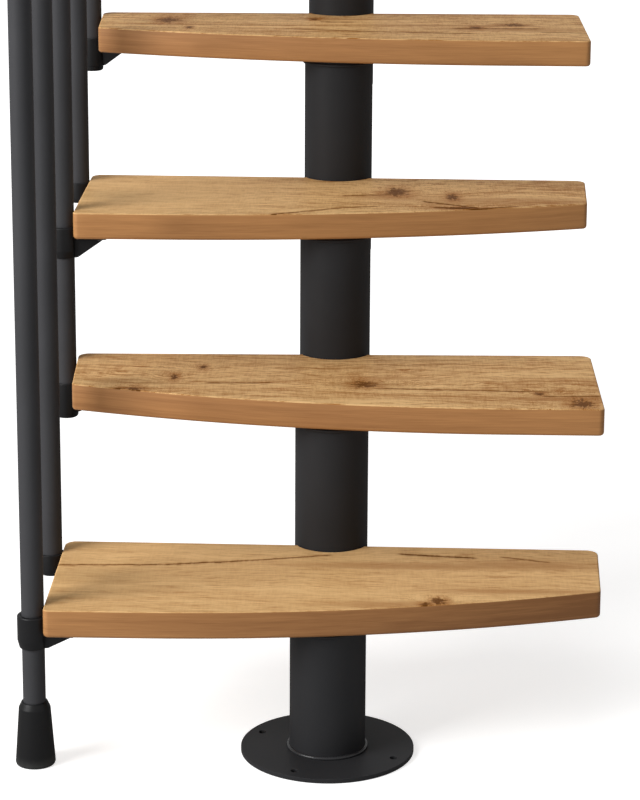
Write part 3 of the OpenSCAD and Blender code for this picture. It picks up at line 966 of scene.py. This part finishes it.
class STAIR_OT_clamps(bpy.types.Operator):
    """Makes the front clamps, the rear cups and the lower clamps that hold the uprights at the tread ends"""

    bl_idname = "stair.clamps"
    bl_label = "Clamps and cups"

    def execute(self, context):
        s = context.scene.stair_fittings
        flat = TREAD_END - UPRIGHT_X - PLATE_GAP
        for k in TREADS:
            if deep_on_left(k):
                self.front(k, flat, s)
                self.cup(k, flat, s)
            else:
                self.lower(k, s)
        return {"FINISHED"}

    def put(self, name, node, grids, s):
        points, faces = join(grids)
        plastic = material("moulded_black", moulded_plastic, s)
        put_mesh(name, points, faces, "black_plastic", [plastic], [node], sharp=40)

    def front(self, k, flat, s):
        """Flared sleeve at a deep end's front corner, with a tapering lug."""
        node = f"front_clamp_{k}"
        z0, z1, y = low(node).z, high(node).z, middle(f"upright_{k}").y
        bore = UPRIGHT_R + s.fit_gap
        r = bore + s.clamp_wall
        profile = turned_profile([
            (bore, z0 + 0.001, 0), (r - 0.0028, z0, 0.0012), (r, z0 + 0.011, 0.004),
            (r, z1 - 0.0015, 0.0010), (r - 0.0012, z1, 0.0004), (bore + 0.0008, z1, 0.0004),
            (bore, z1 - 0.0008, 0),
        ])
        root = low(f"tread_{k}").z - z0
        grids = [revolve(profile, UPRIGHT_X, y, FITTING_SIDES, flat), *lug(k, y, root, 0.0012, s)]
        self.put(f"clamp_front_{k}", node, grids, s)

    def cup(self, k, flat, s):
        """Round-bottomed cup at a deep end's back corner."""
        node = f"rear_cup_{k}"
        z0, z1, y = low(node).z, high(node).z, middle(f"upright_{k + 1}").y
        bore = UPRIGHT_R + s.fit_gap
        r = bore + s.cup_wall
        profile = turned_profile([
            (POLE_R, z0, 0), (r - 0.001, z0, 0.0032), (r, z0 + 0.006, 0.002), (r, z1, 0.0008),
            (bore, z1, 0.0006), (bore, z1 - 0.002, 0),
        ])
        self.put(f"cup_rear_{k}", node, [revolve(profile, UPRIGHT_X, y, FITTING_SIDES, flat)], s)

    def lower(self, k, s):
        """Sleeve under a narrow end, with a narrower plug below it and a blunt lug."""
        node = f"lower_clamp_{k}"
        z0, z1, y = low(node).z, high(node).z, middle(f"upright_{k + 1}").y
        bore = UPRIGHT_R + s.fit_gap
        r = bore + s.cup_wall
        stub = r - s.cup_wall / 2
        step = z0 + s.plug
        profile = turned_profile([
            (POLE_R, z0, 0), (stub, z0, 0.0040), (stub, step, 0.0002), (r, step + 0.0004, 0.0006),
            (r, z1 - 0.0012, 0.0009), (r - 0.001, z1, 0.0003), (bore + 0.0006, z1, 0.0003),
            (bore, z1 - 0.001, 0),
        ])
        root = low(f"tread_{k}").z - step
        grids = [revolve(profile, UPRIGHT_X, y, FITTING_SIDES), *lug(k, y, root, 0.010, s)]
        self.put(f"clamp_lower_{k}", node, grids, s)


class STAIR_OT_foot(bpy.types.Operator):
    """Makes the tapered rubber foot of the first upright"""

    bl_idname = "stair.foot"
    bl_label = "Rubber foot"

    def execute(self, context):
        s = context.scene.stair_fittings
        rubber = material("foot_rubber", foot_rubber, s)
        top, centre, r = high("foot").z, middle("foot"), width("foot") / 2
        bore = UPRIGHT_R + s.fit_gap
        profile = turned_profile([
            (POLE_R, 0.0, 0), (r - 0.0012, 0.0, 0.0009), (r, 0.003, 0.002),
            (s.foot_shoulder, top - 0.009, 0.0045), (bore + 0.0016, top, 0.0014), (bore, top - 0.001, 0),
        ], 7)
        points, faces = join([revolve(profile, centre.x, centre.y, FOOT_SIDES)])
        put_mesh("rubber_foot", points, faces, "rubber", [rubber], ["foot"], sharp=50)
        return {"FINISHED"}


# ---------------------------------------------------------------- balustrade

class STAIR_OT_balustrade(bpy.types.Operator):
    """Finishes the uprights, the handrail, its end caps and its holders"""

    bl_idname = "stair.balustrade"
    bl_label = "Balustrade"

    def execute(self, context):
        coat = material("lit_rail_coat", lit_rail_coat, context.scene.stair_steel)
        plastic = material("moulded_black", moulded_plastic, context.scene.stair_fittings)
        for k in TUBES:
            dress(f"upright_{k}", coat)
        dress("handrail", coat)
        for node in ("rail_cap_low", "rail_cap_high", "rail_holders"):
            dress(node, plastic)
        return {"FINISHED"}


# ---------------------------------------------------------------- screws

def screw_heads(places, radius):
    """Button heads that point down, with a hexagon socket, one grid per place.

    The head's radius falls over a domed profile; the socket's radius is a / cos of the angle from the
    nearest flat, which makes a hexagon.
    """
    angles = around(HEAD_POINTS)
    hexagon = 0.36 / np.cos(angles % (math.pi / 3) - math.pi / 6)
    full = np.ones_like(angles)
    rows = (
        (full, 0.0), (full, 0.16), (full * 0.93, 0.34), (full * 0.72, 0.52),
        (hexagon * 1.10, 0.58), (hexagon, 0.56), (hexagon, 0.22), (hexagon * 0.3, 0.18),
    )
    head = radius * np.stack([
        np.column_stack([r * np.cos(angles), -r * np.sin(angles), -h * full]) for r, h in rows
    ])
    return [head + np.array(centre) for centre in places]


class STAIR_OT_screws(bpy.types.Operator):
    """Makes the screws under the saddle plates and the clamps' foot plates"""

    bl_idname = "stair.screws"
    bl_label = "Screws"

    def execute(self, context):
        s = context.scene.stair_fittings
        steel = material("screw_steel", screw_steel, s)
        saddles, lugs = [], []
        for k in TREADS:
            lo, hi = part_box(f"arm_{k}")
            z, axis = high(f"column_{k}").z, middle(f"column_{k}").y
            ahead = (axis + s.screw_ahead, axis + s.screw_ahead + s.screw_pitch)
            saddles += [(x, y, z) for x in (lo.x + s.screw_inset, hi.x - s.screw_inset) for y in ahead]
            y = middle(f"upright_{k if deep_on_left(k) else k + 1}").y
            z = low(f"tread_{k}").z - LUG_PLATE_T
            half = s.lug_screw_apart / 2
            lugs += [(TREAD_END + s.lug_screw_in, y + side, z) for side in (-half, half)]
        for name, places, radius in (
            ("saddle_screws", saddles, s.screw_head), ("lug_screws", lugs, s.screw_head * 0.4)
        ):
            points, faces = join(screw_heads(places, radius))
            put_mesh(name, points, faces, "powder_coat", [steel], sharp=40)
        return {"FINISHED"}


# ---------------------------------------------------------------- stage

class STAIR_OT_stage(bpy.types.Operator):
    """Sets the camera, the pale floor, the soft lights and the white world"""

    bl_idname = "stair.stage"
    bl_label = "Stage"

    def execute(self, context):
        s = context.scene.stair_stage
        self.camera(context, s)
        self.floor(s)
        self.world(context, s)
        target = Vector((0.0, 0.4, 0.6))
        self.lamp("key", (-4.2, -2.6, 3.0), target, 3.0, s.key_power)
        self.lamp("top", (-0.6, 0.2, 5.0), target, 2.4, s.top_power)
        context.scene.view_settings.view_transform = "Standard"
        return {"FINISHED"}

    def camera(self, context, s):
        """Camera looking along +Y, turned by heading, tilt and roll."""
        data = bpy.data.cameras.new("camera")
        data.lens = s.lens
        data.shift_y = s.shift
        camera = bpy.data.objects.new("camera", data)
        context.scene.collection.objects.link(camera)
        camera.matrix_world = (
            Matrix.Translation(Vector(s.camera_place))
            @ Matrix.Rotation(-s.heading, 4, "Z")
            @ Matrix.Rotation(math.pi / 2 - s.tilt, 4, "X")
            @ Matrix.Rotation(s.roll, 4, "Z")
        )
        context.scene.camera = camera

    def floor(self, s):
        """Pale floor that the camera sees as white further out, and that is clear from below."""
        half, level = s.floor_size / 2, -0.0005
        corners = [(-half, -half, level), (half, -half, level), (half, half, level), (-half, half, level)]
        mesh = bpy.data.meshes.new("floor")
        mesh.from_pydata(corners, [], [[0, 1, 2, 3]])
        shader = Shader("floor")
        x, y, z = shader.place()
        speckle = shader.noise(shader.vector(x, y, z), 60.0, 2.0, 0.5)
        colour = shader.mix(speckle, s.floor_colour[:], lighter(s.floor_colour, 1.02))
        far = ((x * x + y * y) ** 0.5).between(s.lift_near, s.lift_far)
        glow = shader.mix(far, (s.floor_lift,) * 3, WHITE)
        lift = shader.mix(shader.make("ShaderNodeLightPath", out="Is Camera Ray"), (0.0, 0.0, 0.0), glow)
        seen_from_below = shader.make("ShaderNodeNewGeometry", out="Backfacing")
        shader.finish(
            Base_Color=colour, Roughness=0.9, Emission_Color=lift, Emission_Strength=1.0,
            Alpha=1.0 - seen_from_below,
        )
        mesh.materials.append(shader.owner)
        floor = bpy.data.objects.new("floor", mesh)
        bpy.context.scene.collection.objects.link(floor)

    def world(self, context, s):
        """A weak white sky on matt surfaces, and full white behind the object and in its gloss."""
        shader = Shader("studio", bpy.data.worlds.new("studio"))
        context.scene.world = shader.owner
        path = shader.make("ShaderNodeLightPath").socket.node
        rays = ("Is Camera Ray", "Is Glossy Ray", "Is Transmission Ray")
        seen = strongest([Value(shader, path.outputs[ray]) for ray in rays])
        sky = shader.make("ShaderNodeBackground", None, {"Color": WHITE, "Strength": s.diffuse_sky})
        white = shader.make("ShaderNodeBackground", None, {"Color": WHITE, "Strength": 1.0})
        shader.show("World Output", shader.make("ShaderNodeMixShader", None, {0: seen, 1: sky, 2: white}))

    def lamp(self, name, place, target, side, power):
        data = bpy.data.lights.new(name, "AREA")
        data.shape = "SQUARE"
        data.size = side
        data.energy = power
        lamp = bpy.data.objects.new(name, data)
        bpy.context.scene.collection.objects.link(lamp)
        lamp.location = place
        lamp.rotation_mode = "QUATERNION"
        lamp.rotation_quaternion = (target - Vector(place)).to_track_quat("-Z", "Y")


# ---------------------------------------------------------------- panel and registration

OPERATORS = (
    STAIR_OT_treads, STAIR_OT_spine, STAIR_OT_flanges, STAIR_OT_clamps, STAIR_OT_foot,
    STAIR_OT_balustrade, STAIR_OT_screws, STAIR_OT_stage,
)


class STAIR_PT_panel(bpy.types.Panel):
    bl_idname = "STAIR_PT_panel"
    bl_label = "Spine Stair"
    bl_space_type = "VIEW_3D"
    bl_region_type = "UI"
    bl_category = "Spine Stair"

    def draw(self, context):
        for operator in OPERATORS:
            self.layout.operator(operator.bl_idname)


SETTINGS = {
    "stair_treads": TreadSettings,
    "stair_steel": SteelSettings,
    "stair_fittings": FittingSettings,
    "stair_stage": StageSettings,
}


def register():
    for cls in (*SETTINGS.values(), *OPERATORS, STAIR_PT_panel):
        bpy.utils.register_class(cls)
    for name, group in SETTINGS.items():
        setattr(bpy.types.Scene, name, PointerProperty(type=group))


def unregister():
    for name in SETTINGS:
        delattr(bpy.types.Scene, name)
    for cls in reversed((*SETTINGS.values(), *OPERATORS, STAIR_PT_panel)):
        bpy.utils.unregister_class(cls)


def main():
    register()
    for operator in (*OPERATORS[-1:], *OPERATORS[:-1]):
        group, name = operator.bl_idname.split(".")
        getattr(getattr(bpy.ops, group), name)()


if __name__ == "__main__":
    main()
